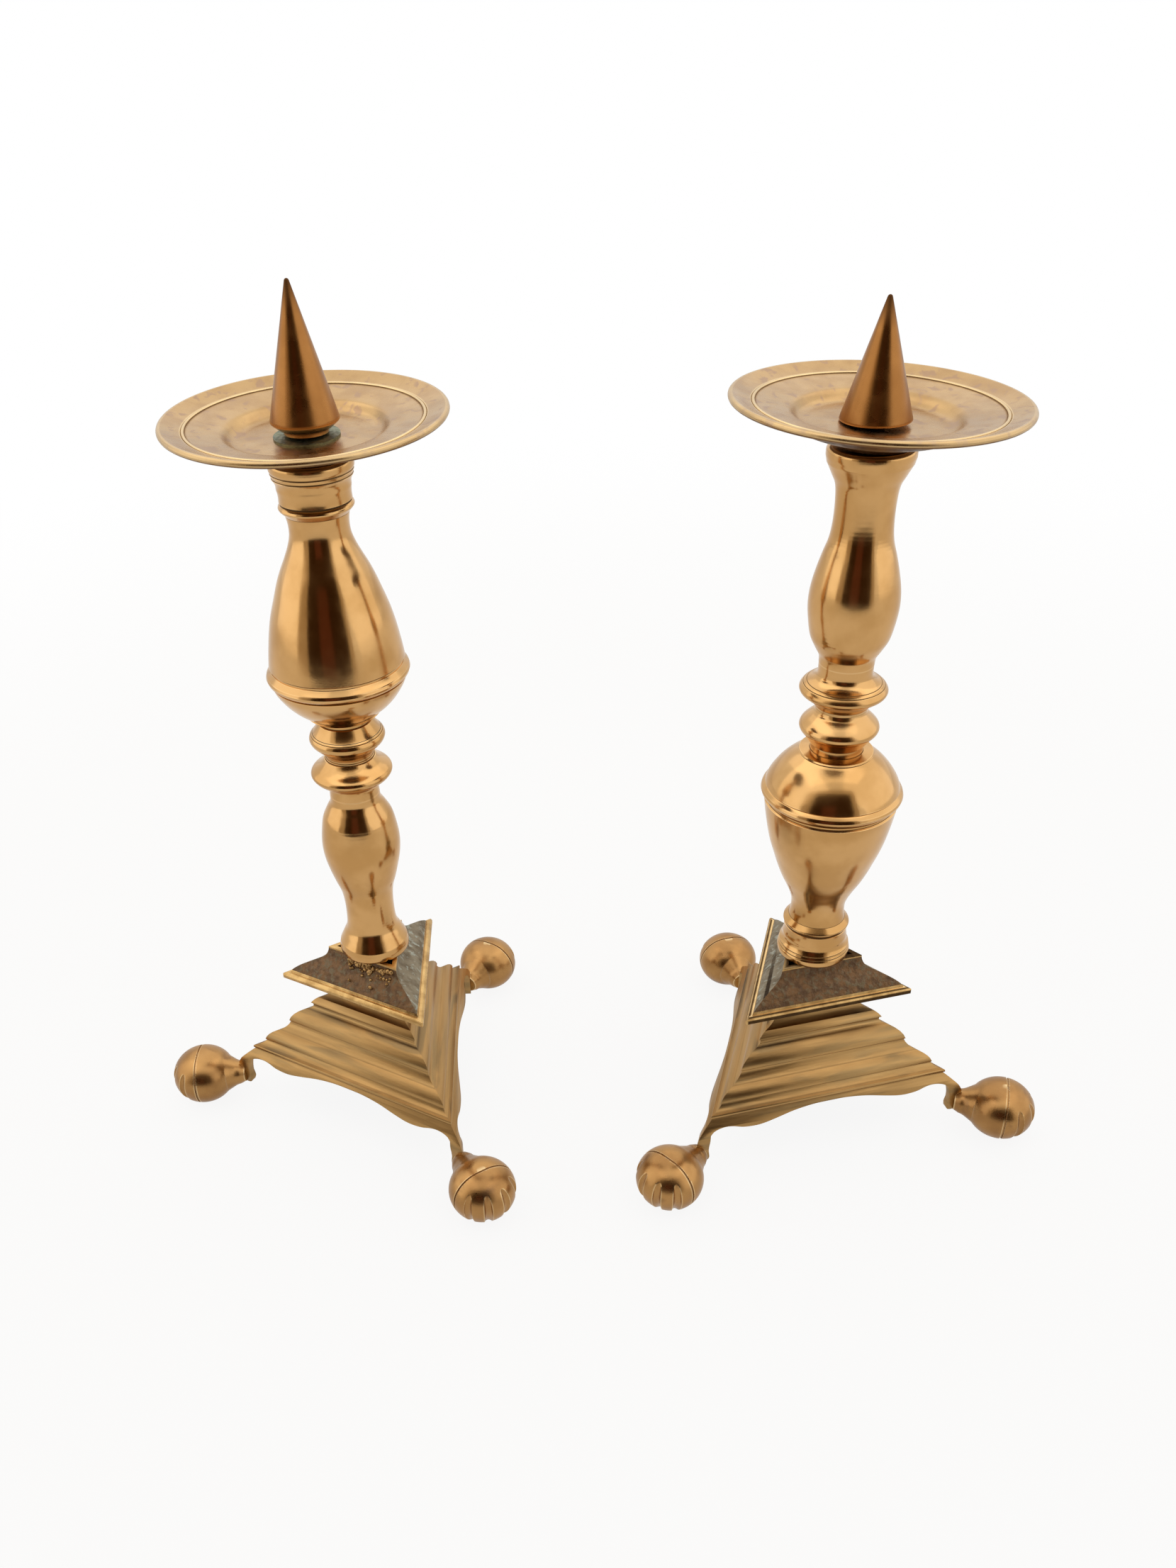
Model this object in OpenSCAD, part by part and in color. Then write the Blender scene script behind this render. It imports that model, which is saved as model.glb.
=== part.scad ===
// A pair of brass pricket candlesticks, standing side by side.
// Each stick is a tripod base, a platform, a turned stem, a drip pan and a spike, held by one iron rod.
// The right stick has the same turned stem as the left one, fitted upside down.

/* [Pair] */
// Distance between the axes of the two sticks
pair_spacing = 170.5; // [165:0.5:260]
// Direction of the left stick's front leg, in degrees from +X
left_turn = -56; // [-70:1:-40]
// Direction of the right stick's outer leg, in degrees from +X
right_turn = -13; // [-25:1:0]

/* [Feet] */
// Distance from the stick's axis to the centre of a foot's ball
foot_reach = 80; // [76:0.5:90]
// Radius of the ball, seen from above
ball_r = 12.9; // [12:0.1:13.8]
// Height of the ball, which is flatter than it is wide
ball_h = 22; // [20.6:0.1:23.4]
// Depth worn flat under the ball
ball_flat = 0.25; // [0.15:0.05:0.5]
// Radius of the foot's neck where it meets the leg
neck_r = 4.9; // [4.3:0.1:5.6]
// Distance from the ball's centre back to the edge of the leg
neck_len = 15.5; // [14:0.5:17]
// How far the neck laps back over the edge of the leg
neck_lap = 2.2; // [1.6:0.1:3]
// Number of toes on the front of the ball
toes = 5; // [3:1:6]
// Depth of the flutes between the toes
flute_depth = 1.5; // [0.8:0.1:1.8]
// Radius of the flutes' round section
flute_r = 1.7; // [1.2:0.1:2.2]
// Depth of the ring groove round the ball
ring_groove = 0.6; // [0.4:0.1:1]
// Width of the ring groove
ring_w = 0.8; // [0.6:0.1:1.2]
// Distance of the ring groove outwards from the ball's centre
ring_reach = 0.8; // [0:0.1:2]

/* [Base] */
// Height of the base from the ground to its top face
base_h = 61.3; // [56:0.1:70]
// Distance from the axis to a face at the top of the base
waist_a = 10; // [9.5:0.1:12]
// Distance from the axis to a face at the lowest moulding
edge_a = 28; // [26:0.1:30]
// Height of the lowest moulding's lower edge
edge_z = 24.5; // [23.5:0.1:26]
// Thickness of the cast walls of the base
base_wall = 2.5; // [2:0.1:2.6]
// Thickness of the top of the base
base_top = 5; // [4:0.1:6]
// Clear height under the middle of the apron
arch_h = 22.8; // [21.5:0.1:23.5]
// Width of each side of a strap leg
strap_w = 5.9; // [5:0.1:6.5]
// How far a leg's heel ends above the underside of the foot's neck
heel_rise = 1; // [0.6:0.1:1.6]

/* [Platform] */
// Distance from the axis to the lip of the platform
lip_a = 19.8; // [19:0.1:22]
// Distance from the axis to the blunted tip of the lip
lip_tip = 38.6; // [37:0.1:39.5]
// Height of the lip
lip_h = 3; // [2.4:0.1:3.5]
// Height of the whole platform
platform_h = 15.3; // [14:0.1:17]
// Distance from the axis to a face of the socket at its top
socket_a = 9.3; // [9:0.1:10]
// Thickness of the socket's walls
socket_wall = 1.7; // [1.2:0.1:2]
// Depth of the socket's pocket
socket_depth = 4; // [3:0.1:5]

/* [Stem] */
// Length of the section with the slim belly
baluster_len = 70.4; // [65:0.1:80]
// Radius of the slim belly
baluster_r = 14.45; // [13.5:0.05:16]
// Length of the disc's part of the knop section
disc_len = 16.4; // [15:0.1:18]
// Radius of the disc
disc_r = 14.6; // [14:0.05:16]
// Length of the knop's part of the knop section
knop_len = 14.9; // [13.5:0.1:17]
// Radius of the knop
knop_r = 13.4; // [13:0.1:15]
// Length of the dome section, with its bead ring
dome_len = 19.7; // [18:0.1:22]
// Radius of the bead ring
bead_r = 24.1; // [23:0.1:26]
// Length of the pear section, with its collar
pear_len = 68.6; // [64:0.1:76]
// Radius of the pear at its wide end
pear_r = 23.1; // [22:0.1:24.5]
// Radius of the flared ends of the stem
flare_r = 13.45; // [12.8:0.05:14.5]
// Radius of the flat faces at both ends of the stem
seat_r = 12.2; // [11.4:0.1:12.6]

/* [Drip pan] */
// Radius of the pan
pan_r = 44.2; // [40:0.1:50]
// Height of the rim over the pan's seat on the stem
pan_h = 13; // [12:0.1:15]
// Height of the well's floor over the pan's seat
well_floor = 5.7; // [5.2:0.1:6.6]
// Radius of the hub under the well
hub_r = 14.3; // [13.6:0.1:15]
// Radius of the well where it meets the brim
well_r = 25.8; // [24:0.1:28]
// Thickness of the pan
pan_t = 2.1; // [1.8:0.1:2.4]
// Height of the fine raised ring on the brim
ring_h = 0.45; // [0.3:0.05:0.7]
// Radius of the fine raised ring on the brim
ring_r = 36.6; // [34:0.1:39]
// Tilt of the left pan, which sits loose on its stem
left_pan_tilt = 2.7; // [0:0.1:3.2]
// Direction in which the left pan rises, in degrees from +X
left_pan_way = 93; // [0:1:360]
// Tilt of the right pan
right_pan_tilt = 2.8; // [0:0.1:3.2]
// Direction in which the right pan rises, in degrees from +X
right_pan_way = 165; // [0:1:360]

/* [Spikes] */
// Height of the left spike from its widest edge to its tip
left_spike_h = 38.8; // [34:0.1:44]
// Height of the right spike from its widest edge to its tip
right_spike_h = 33.5; // [30:0.1:40]
// Radius of a spike at its widest edge
spike_r = 10.7; // [10:0.1:11.5]
// Height of the chamfer under the left spike's widest edge
left_chamfer = 2.4; // [1.8:0.1:2.8]
// Height of the chamfer under the right spike's widest edge
right_chamfer = 0.6; // [0.5:0.1:1.6]
// Radius of the face that a spike stands on
spike_foot_r = 8.3; // [7.5:0.1:9]
// Height of the left spike's neck, which holds it off its washer
left_neck_h = 1.6; // [1:0.1:2]
// Radius of the left spike's neck
spike_neck_r = 6.9; // [6:0.1:7.4]
// Radius of the rounded tip
tip_r = 0.75; // [0.5:0.05:1]
// Radius of the washer under the left spike
spike_washer_r = 10.3; // [9.6:0.1:11.6]
// Thickness of the washer under the left spike
spike_washer_t = 0.6; // [0.5:0.1:1]

/* [Rod and fixings] */
// Radius of the iron rod
rod_r = 3.2; // [2.8:0.05:3.4]
// Length of the rod inside a spike
rod_grip = 12; // [9:0.5:14]
// Length of rod that stands out below the nut
rod_tail = 2; // [1:0.1:3]
// Radius of the washer below the base's top
base_washer_r = 6.9; // [6:0.1:7.1]
// Thickness of that washer
base_washer_t = 1.5; // [1:0.1:2]
// Width of the square nut
nut_w = 10.2; // [9:0.1:10.6]
// Height of the square nut
nut_h = 5; // [4:0.1:6]

/* [Clearances] */
// Radial clearance of the rod in the fixed pieces
rod_gap = 0.3; // [0.2:0.05:0.4]
// Radial clearance of the rod in the loose pans and in the washer that lies in one
pan_gap = 0.6; // [0.5:0.05:0.8]
// Radial clearance of the rod's thread in a spike and in a nut
thread_gap = 0.05; // [0.03:0.01:0.08]
// Play between a spike and what lies under it
spike_play = 0.2; // [0.1:0.05:0.3]
// Play between a pan and the top of its stem
pan_play = 0.05; // [0.03:0.01:0.1]

/* [Hidden] */
$fn = 72;
// Overrun of every cut past the face that it opens
cut = 1;
// Number of sides of the base and of the platform, and so of legs
sides = 3;
side_turn = 360 / sides;
// Steps in each curved stretch of an outline
steps = 4;

// Colours of the metals
polished_brass = [0.80, 0.60, 0.30];
cast_brass = [0.62, 0.44, 0.22];
foot_brass = [0.68, 0.47, 0.22];
dull_brass = [0.46, 0.38, 0.25];
pan_brass = [0.76, 0.57, 0.36];
spike_brass = [0.72, 0.47, 0.22];
dark_iron = [0.25, 0.23, 0.22];
green_brass = [0.38, 0.42, 0.32];

// Heights that the stack of pieces gives
ball_z = ball_h / 2 - ball_flat;
leg_reach = foot_reach - neck_len;
leg_a = leg_reach * cos(side_turn / 2);
socket_z = base_h + platform_h;
stem_len = baluster_len + disc_len + knop_len + dome_len + pear_len;
stem_top = socket_z + stem_len;
left_pan_z = stem_top + seat_r * sin(left_pan_tilt) + pan_play;
right_pan_z = stem_top + seat_r * sin(right_pan_tilt) + pan_play;
left_spike_z = left_pan_z + well_floor + spike_washer_t + spike_neck_r * sin(left_pan_tilt) + spike_play;
right_spike_z = right_pan_z + well_floor + spike_foot_r * sin(right_pan_tilt) + spike_play;
nut_z = base_h - base_top - base_washer_t - nut_h;
rod_z = nut_z - rod_tail;
bore_r = rod_r + rod_gap;
pan_bore_r = rod_r + pan_gap;

// Places of the six balls, from which the pair is centred over its origin
left_ways = [for (k = [0 : sides - 1]) left_turn + k * side_turn];
right_ways = [for (k = [0 : sides - 1]) right_turn + k * side_turn];
balls = concat(
    [for (a = left_ways) [-pair_spacing / 2, 0] + foot_reach * [cos(a), sin(a)]],
    [for (a = right_ways) [pair_spacing / 2, 0] + foot_reach * [cos(a), sin(a)]]
);
ball_xs = [for (b = balls) b[0]];
ball_ys = [for (b = balls) b[1]];
centre = [max(ball_xs) + min(ball_xs), max(ball_ys) + min(ball_ys)] / 2;

// Outlines are tables of shares. In tables with three columns the last is the bow of the stretch
// from that point to the next, as a share of its length: outwards above zero, inwards below.

// Mouldings of the base: from the lowest edge (0) in to the waist (1), and up to the top face (1)
moulding_shares = [
    [0.000, 0.000, 0], [-0.020, 0.006, 0.12], [-0.008, 0.040, 0], [0.048, 0.050, -0.08],
    [0.148, 0.112, 0], [0.134, 0.124, 0.10], [0.289, 0.247, 0], [0.326, 0.256, -0.08],
    [0.466, 0.374, 0], [0.450, 0.388, 0.10], [0.650, 0.546, 0], [0.692, 0.555, -0.20],
    [0.758, 0.622, 0], [0.734, 0.634, 0.05], [0.828, 0.709, 0], [0.872, 0.717, -0.16],
    [1.000, 0.845, 0], [1.000, 1.000, 0]
];
// Sweep of a corner: from the lowest edge (1) out to the foot's neck (0), and up from the neck
leg_shares = [[0.00, 0.00], [0.04, 0.16], [0.20, 0.40], [0.55, 0.68], [0.86, 0.90], [1.00, 1.00]];
// Lower edge of the apron: out from the middle (0) to the strap (1), and down from the arch (0)
// to the tip of the drop (1)
apron_shares = [
    [0.00, 0.00], [0.14, 0.03], [0.30, 0.26], [0.45, 0.66], [0.56, 0.93], [0.64, 1.00],
    [0.73, 0.90], [0.80, 0.66], [0.86, 0.55], [0.92, 0.62], [0.97, 0.84], [1.00, 1.20]
];
// Drop of the apron's tip below the arch, as a share of the arch's height
apron_drop_share = 0.14;
// Inner edge of a strap leg below the apron: in from the strap's edge as a share of its width,
// and down from the neck's top (0) to the heel (1)
heel_shares = [[0.12, 0.15], [0.14, 0.40], [0.10, 0.62], [0.08, 0.82], [0.18, 0.95], [0.40, 1.00]];
// Slope of the platform: out from the socket's top (0) to the lip's channel (1), and down (1)
slope_shares = [
    [0.00, 0.00], [0.02, 0.15], [0.09, 0.32], [0.25, 0.45], [0.48, 0.57], [0.74, 0.72],
    [0.93, 0.88], [1.00, 1.00]
];
// Outline of the foot's neck: swell from the neck (0) to the ball (1), and the way there (0 to 1)
neck_shares = [[0.00, 0.00], [0.10, 0.18], [0.38, 0.45], [0.66, 0.70], [1.00, 1.00]];
// Radius of the neck where it runs into the ball, as a share of half the ball's height
neck_join_share = 0.91;

// Turned outlines: radius as a share of the section's own radius, height as a share of its length
flare_shares = [[0.00, 0.000, 0.2], [1.00, 0.024, 0], [1.00, 0.040, 0.05]];
baluster_shares = [
    [0.900, 0.068], [0.780, 0.118], [0.675, 0.167], [0.640, 0.240], [0.645, 0.335], [0.692, 0.410],
    [0.797, 0.480], [0.900, 0.558], [0.975, 0.632], [1.000, 0.702], [0.972, 0.772], [0.893, 0.858],
    [0.765, 0.914], [0.645, 0.960], [0.625, 1.000]
];
disc_shares = [
    [0.616, 0.000], [0.616, 0.160], [0.637, 0.250], [0.699, 0.317], [0.774, 0.366], [0.870, 0.409],
    [0.938, 0.457], [0.990, 0.524], [1.000, 0.573], [0.973, 0.628], [0.911, 0.677], [0.822, 0.732],
    [0.740, 0.793], [0.678, 0.854], [0.630, 0.915]
];
fillet_shares = [[0.600, 0.925], [0.600, 0.955], [0.580, 0.965], [0.580, 1.000]];
knop_shares = [
    [0.634, 0.000], [0.664, 0.080], [0.754, 0.161], [0.858, 0.248], [0.951, 0.336], [0.993, 0.409],
    [1.000, 0.470], [0.966, 0.544], [0.888, 0.624], [0.817, 0.711], [0.757, 0.792], [0.709, 0.859]
];
knop_neck_shares = [[0.668, 0.870], [0.668, 1.000]];
dome_foot_shares = [[0.375, 0.00], [0.375, 0.03], [0.520, 0.05], [0.535, 0.07], [0.520, 0.09]];
dome_shares = [
    [0.550, 0.12], [0.680, 0.24], [0.785, 0.37], [0.865, 0.50], [0.928, 0.63], [0.962, 0.74]
];
bead_shares = [[0.945, 0.75, 0], [0.968, 0.77, 0.32], [0.968, 0.96, 0], [0.940, 1.00, 0]];
pear_groove_shares = [[0.970, 0.000], [0.970, 0.012]];
pear_shares = [
    [1.000, 0.020], [0.972, 0.086], [0.926, 0.175], [0.866, 0.262], [0.782, 0.350], [0.708, 0.423],
    [0.638, 0.481], [0.554, 0.539], [0.477, 0.598], [0.430, 0.652], [0.424, 0.706], [0.446, 0.752]
];
// Collar at the narrow end of the pear, with radii as shares of the flared end's
collar_shares = [
    [0.860, 0.772, 0.3], [0.860, 0.800, 0], [0.838, 0.803, 0], [0.838, 0.809, 0], [0.866, 0.812, -0.04],
    [0.882, 0.872, -0.10], [0.960, 0.922, 0], [0.948, 0.926, 0], [0.955, 0.931, 0], [0.980, 0.942, 0],
    [0.968, 0.946, 0], [0.980, 0.952, 0.1], [1.000, 0.968, 0.15]
];
// Rounded end of the flare, from its widest ring (1) to the flat seat (0)
pear_end_shares = [[1.00, 0.976, 0.2], [0.00, 1.000, 0]];

// Point at share t of the smooth curve from b to c, with a and d as the points beyond them
function between(a, b, c, d, t) =
    b + ((c - a) * t + (2 * a - 5 * b + 4 * c - d) * t * t + (3 * b - a - 3 * c + d) * t * t * t) / 2;

// Smooth curve through a list of points
function smooth(p) = concat(
    [for (i = [0 : len(p) - 2]) for (k = [0 : steps - 1])
        between(p[max(i - 1, 0)], p[i], p[i + 1], p[min(i + 2, len(p) - 1)], k / steps)],
    [p[len(p) - 1]]
);

// Straight and bowed stretches through a list of points with three columns
function bowed(p) = concat(
    [for (i = [0 : len(p) - 2]) let (
        a = [p[i][0], p[i][1]],
        b = [p[i + 1][0], p[i + 1][1]],
        bend = p[i][2] * [b[1] - a[1], a[0] - b[0]],
        n = p[i][2] == 0 ? 1 : steps
    ) for (k = [0 : n - 1]) a + (b - a) * k / n + 4 * bend * (k / n) * (1 - k / n)],
    [[p[len(p) - 1][0], p[len(p) - 1][1]]]
);

// A table of shares as sizes: from radius or distance r0 at share 0 to r1 at share 1, and h0 to h1
function sized(p, r0, r1, h0, h1) = [for (q = p) concat(
    [r0 + q[0] * (r1 - r0), h0 + q[1] * (h1 - h0)],
    len(q) > 2 ? [q[2]] : []
)];

// A list in reverse order
function reversed(p) = [for (i = [len(p) - 1 : -1 : 0]) p[i]];

// Turned solid with a bore, from its outline going up
module turned(outline) {
    low = outline[0][1];
    high = outline[len(outline) - 1][1];
    difference() {
        rotate_extrude() polygon(concat([[0, low]], outline, [[0, high]]));
        translate([0, 0, low - cut]) cylinder(r = bore_r, h = high - low + 2 * cut);
    }
}

// Round plate with a hole, standing on height z
module ring(r, hole_r, z, h) {
    translate([0, 0, z])
        difference() {
            cylinder(r = r, h = h);
            translate([0, 0, -cut]) cylinder(r = hole_r, h = h + 2 * cut);
        }
}

// Three-sided solid with mitred corners, from the outline of one face as distance and height
module mitred(outline) {
    low = outline[0][1];
    high = outline[len(outline) - 1][1];
    back = -2 * max([for (q = outline) q[0]]);
    width = -4 * back;
    intersection_for (k = [0 : sides - 1])
        rotate([0, 0, side_turn / 2 + k * side_turn])
            translate([0, width / 2, 0])
                rotate([90, 0, 0])
                    linear_extrude(width)
                        polygon(concat([[back, low]], outline, [[back, high]]));
}

// Outer faces of the base, from the heel of a leg up to the top
neck_top = ball_z + neck_r;
heel_z = ball_z - neck_r + heel_rise;
leg_sweep = smooth(sized(leg_shares, leg_a, edge_a, neck_top, edge_z));
mouldings = bowed(sized(moulding_shares, edge_a, waist_a, edge_z, base_h));

// Hollow inside them, a wall's thickness in
hollow = concat(
    [[leg_a - base_wall, heel_z - 2 * cut]],
    [for (q = leg_sweep) [q[0] - base_wall, q[1]]],
    [[waist_a - base_wall, base_h - base_top]]
);

// What is cut away below an apron and beside its two legs
arch_side = leg_reach * sin(side_turn / 2) - strap_w;
apron_edge = smooth(sized(apron_shares, 0, arch_side, arch_h, arch_h * (1 - apron_drop_share)));
leg_edge = smooth(sized(heel_shares, arch_side, arch_side + strap_w, neck_top, heel_z));
arch_edge = concat(apron_edge, leg_edge, [[arch_side + 2 * strap_w, heel_z], [arch_side + 2 * strap_w, 0]]);

module arch_cut() {
    start = edge_a - 2 * base_wall;
    for (m = [0, 1])
        mirror([0, m, 0])
            translate([start, 0, 0])
                rotate([90, 0, 90])
                    linear_extrude(leg_reach - start) polygon(concat([[0, 0]], arch_edge));
}

module base() {
    color(cast_brass)
        difference() {
            mitred(concat([[leg_a, heel_z - cut]], leg_sweep, mouldings));
            mitred(hollow);
            for (k = [0 : sides - 1])
                rotate([0, 0, side_turn / 2 + k * side_turn]) arch_cut();
            translate([0, 0, base_h - base_top - cut]) cylinder(r = bore_r, h = base_top + 2 * cut);
        }
}

// Ball of a foot, flatter than it is wide, or what is left of it a depth under its skin
module ball(depth) {
    half = ball_h / 2;
    shift = ball_r - half;
    rotate_extrude()
        intersection() {
            union() {
                translate([shift, 0]) circle(r = half - depth);
                translate([0, depth - half]) square([shift, 2 * (half - depth)]);
            }
            translate([0, -half]) square([ball_r, 2 * half]);
        }
}

// Swelling neck of a foot, along -X behind the ball's centre
module foot_neck() {
    join = ball_r / 2;
    join_r = neck_join_share * ball_h / 2;
    swell = smooth(sized(neck_shares, neck_r, join_r, -neck_len, -join));
    rotate([0, 90, 0])
        rotate_extrude()
            polygon(concat([[0, -neck_len - neck_lap], [neck_r - neck_lap / 2, -neck_len - neck_lap]],
                swell, [[0, -join]]));
}

// Flutes between the toes: each fades out over the ball above and below its deepest point
flute_fall = 20;
flute_spread = 65;
flute_floor = ball_r - flute_depth;
flute_set = (ball_r * ball_r - flute_floor * flute_floor)
    / (flute_floor - ball_r * cos(flute_spread)) / 2;

module toe_flutes() {
    fan = 180 / toes;
    for (k = [1 : toes - 1])
        rotate([0, flute_fall, -90 + k * fan])
            translate([-flute_set, 0, 0])
                rotate([90, 0, 0])
                    rotate_extrude(angle = 180, start = -90)
                        translate([flute_floor + flute_set + flute_r, 0]) circle(r = flute_r);
}

module ring_cut() {
    difference() {
        translate([ring_reach, -ball_r - cut, -ball_r - cut])
            cube([ring_w, 2 * (ball_r + cut), 2 * (ball_r + cut)]);
        ball(ring_groove);
    }
}

// Foot on the leg along +X, notched to sit on the leg's edge
module foot() {
    color(foot_brass)
        difference() {
            translate([foot_reach, 0, ball_z])
                difference() {
                    union() {
                        ball(0);
                        foot_neck();
                    }
                    ring_cut();
                    toe_flutes();
                }
            mitred(concat([[leg_a, -ball_r]], leg_sweep));
            translate([foot_reach - ball_r, -ball_r, -2 * ball_r]) cube(2 * ball_r);
        }
}

// Lip, sloping faces and socket of the platform
lip_top = base_h + lip_h;
channel_a = lip_a - lip_h * 2 / 3;
platform_outline = concat(
    [[lip_a - lip_h / 4, base_h], [lip_a, base_h + lip_h / 4], [lip_a, base_h + lip_h * 2 / 3],
        [lip_a - lip_h / 3, lip_top], [channel_a + lip_h / 8, lip_top]],
    reversed(smooth(sized(slope_shares, socket_a, channel_a, socket_z, lip_top)))
);
pocket_a = socket_a - socket_wall;

module platform() {
    color(dull_brass)
        difference() {
            intersection() {
                mitred(platform_outline);
                translate([0, 0, base_h]) cylinder(r = lip_tip, h = platform_h);
            }
            mitred([[pocket_a, socket_z - socket_depth], [pocket_a, socket_z + cut]]);
            translate([0, 0, base_h - cut]) cylinder(r = bore_r, h = platform_h + 2 * cut);
        }
}

// The stem's sections, each at its height when the slim belly is the lowest
disc_z = baluster_len;
knop_z = disc_z + disc_len;
dome_z = knop_z + knop_len;
pear_z = dome_z + dome_len;

module stem_baluster() {
    color(polished_brass)
        turned(concat(
            bowed(sized(flare_shares, seat_r, flare_r, 0, baluster_len)),
            smooth(sized(baluster_shares, 0, baluster_r, 0, baluster_len))
        ));
}

module stem_knops() {
    color(polished_brass)
        turned(concat(
            smooth(sized(disc_shares, 0, disc_r, disc_z, knop_z)),
            sized(fillet_shares, 0, disc_r, disc_z, knop_z),
            smooth(sized(knop_shares, 0, knop_r, knop_z, dome_z)),
            sized(knop_neck_shares, 0, knop_r, knop_z, dome_z)
        ));
}

module stem_dome() {
    color(polished_brass)
        turned(concat(
            sized(dome_foot_shares, 0, bead_r, dome_z, pear_z),
            smooth(sized(dome_shares, 0, bead_r, dome_z, pear_z)),
            bowed(sized(bead_shares, 0, bead_r, dome_z, pear_z))
        ));
}

module stem_pear() {
    color(polished_brass)
        turned(concat(
            sized(pear_groove_shares, 0, pear_r, pear_z, stem_len),
            smooth(sized(pear_shares, 0, pear_r, pear_z, stem_len)),
            bowed(sized(collar_shares, 0, flare_r, pear_z, stem_len)),
            bowed(sized(pear_end_shares, seat_r, flare_r, pear_z, stem_len))
        ));
}

// Height of the brim's inner edge between the well's floor (0) and the rim (1)
brim_share = 0.42;
// Chamfer round the hub's seat, and the height of the hub's widest ring as a share of its height
hub_edge = 0.8;
hub_share = 0.8;

// Pan on its seat: under side from the bore out to the rim, then the upper side back in
module drip_pan() {
    rim_r = pan_t / 2;
    brim_z = well_floor + (pan_h - well_floor) * brim_share;
    slope = (pan_h - rim_r - brim_z) / (pan_r - rim_r - well_r);
    ring_z = brim_z + (ring_r - well_r) * slope;
    hub_h = well_floor - pan_t;
    under = [
        [pan_bore_r, 0], [seat_r, 0], [seat_r + hub_edge, hub_edge], [hub_r, hub_h * hub_share],
        [hub_r + pan_t, hub_h], [well_r - pan_t, hub_h + pan_t / 4],
        [well_r + pan_t, brim_z - pan_t], [pan_r - rim_r, pan_h - 2 * rim_r]
    ];
    rim = [for (a = [-60 : 30 : 120]) [pan_r - rim_r + rim_r * cos(a), pan_h - rim_r + rim_r * sin(a)]];
    fine_ring = [for (a = [0 : 45 : 180]) [ring_r + ring_h * cos(a), ring_z + ring_h * sin(a)]];
    well = smooth([
        [well_r + pan_t, brim_z + pan_t * slope], [well_r, brim_z], [well_r - pan_t, well_floor + pan_t / 3],
        [well_r - 2 * pan_t, well_floor]
    ]);
    color(pan_brass)
        rotate_extrude() polygon(concat(under, rim, fine_ring, well, [[pan_bore_r, well_floor]]));
}

// Tapped spike from its foot up: neck, face, chamfer, long cone and rounded tip
module spike(h, chamfer, neck_h) {
    edge_z = neck_h + chamfer;
    top = edge_z + h;
    lean = atan((spike_r - tip_r) / (h - tip_r));
    neck = neck_h > 0 ? [[spike_neck_r, 0], [spike_neck_r, neck_h]] : [];
    tip = [for (a = [lean : (90 - lean) / steps : 89]) [tip_r * cos(a), top - tip_r + tip_r * sin(a)]];
    color(spike_brass)
        difference() {
            rotate_extrude()
                polygon(concat([[0, 0]], neck, [[spike_foot_r, neck_h], [spike_r, edge_z - chamfer / 4],
                    [spike_r, edge_z]], tip, [[0, top]]));
            translate([0, 0, -cut]) cylinder(r = rod_r + thread_gap, h = rod_grip + spike_play + cut);
        }
}

// Iron rod from below the nut up into the spike that stands at spike_z
module tie_rod(spike_z) {
    color(dark_iron)
        translate([0, 0, rod_z])
            cylinder(r = rod_r, h = spike_z + rod_grip - rod_z);
}

module base_washer() {
    color(dark_iron)
        ring(base_washer_r, bore_r, nut_z + nut_h, base_washer_t);
}

module base_nut() {
    color(dark_iron)
        translate([0, 0, nut_z])
            difference() {
                translate([-nut_w / 2, -nut_w / 2, 0]) cube([nut_w, nut_w, nut_h]);
                translate([0, 0, -cut]) cylinder(r = rod_r + thread_gap, h = nut_h + 2 * cut);
            }
}

module spike_washer() {
    color(green_brass)
        ring(spike_washer_r, pan_bore_r, well_floor, spike_washer_t);
}

// Places a piece on the left or the right stick
module on_left() {
    translate([-pair_spacing / 2 - centre[0], -centre[1], 0]) rotate([0, 0, left_turn]) children();
}
module on_right() {
    translate([pair_spacing / 2 - centre[0], -centre[1], 0]) rotate([0, 0, right_turn]) children();
}
// Turns a foot to one of the legs
module at_leg(k) {
    rotate([0, 0, k * side_turn]) children();
}
// Places a section of the stem, upright on the left stick and upside down on the right one
module upright() {
    translate([0, 0, socket_z]) children();
}
module upturned() {
    translate([0, 0, stem_top]) rotate([180, 0, 0]) children();
}
// Places a pan, or what lies in it, at height z with its tilt
module tilted(z, tilt, way) {
    translate([0, 0, z]) rotate([0, 0, way]) rotate([0, -tilt, 0]) rotate([0, 0, -way]) children();
}
module left_tilted() {
    tilted(left_pan_z, left_pan_tilt, left_pan_way - left_turn) children();
}
module right_tilted() {
    tilted(right_pan_z, right_pan_tilt, right_pan_way - right_turn) children();
}

on_left() base();  // left_base
on_left() at_leg(0) foot();  // left_foot_front
on_left() at_leg(1) foot();  // left_foot_back
on_left() at_leg(2) foot();  // left_foot_outer
on_left() platform();  // left_platform
on_left() tie_rod(left_spike_z);  // left_tie_rod
on_left() base_washer();  // left_base_washer
on_left() base_nut();  // left_base_nut
on_left() upright() stem_baluster();  // left_stem_baluster
on_left() upright() stem_knops();  // left_stem_knops
on_left() upright() stem_dome();  // left_stem_dome
on_left() upright() stem_pear();  // left_stem_pear
on_left() left_tilted() drip_pan();  // left_drip_pan
on_left() left_tilted() spike_washer();  // left_spike_washer
on_left() translate([0, 0, left_spike_z]) spike(left_spike_h, left_chamfer, left_neck_h);  // left_pricket_spike

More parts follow.
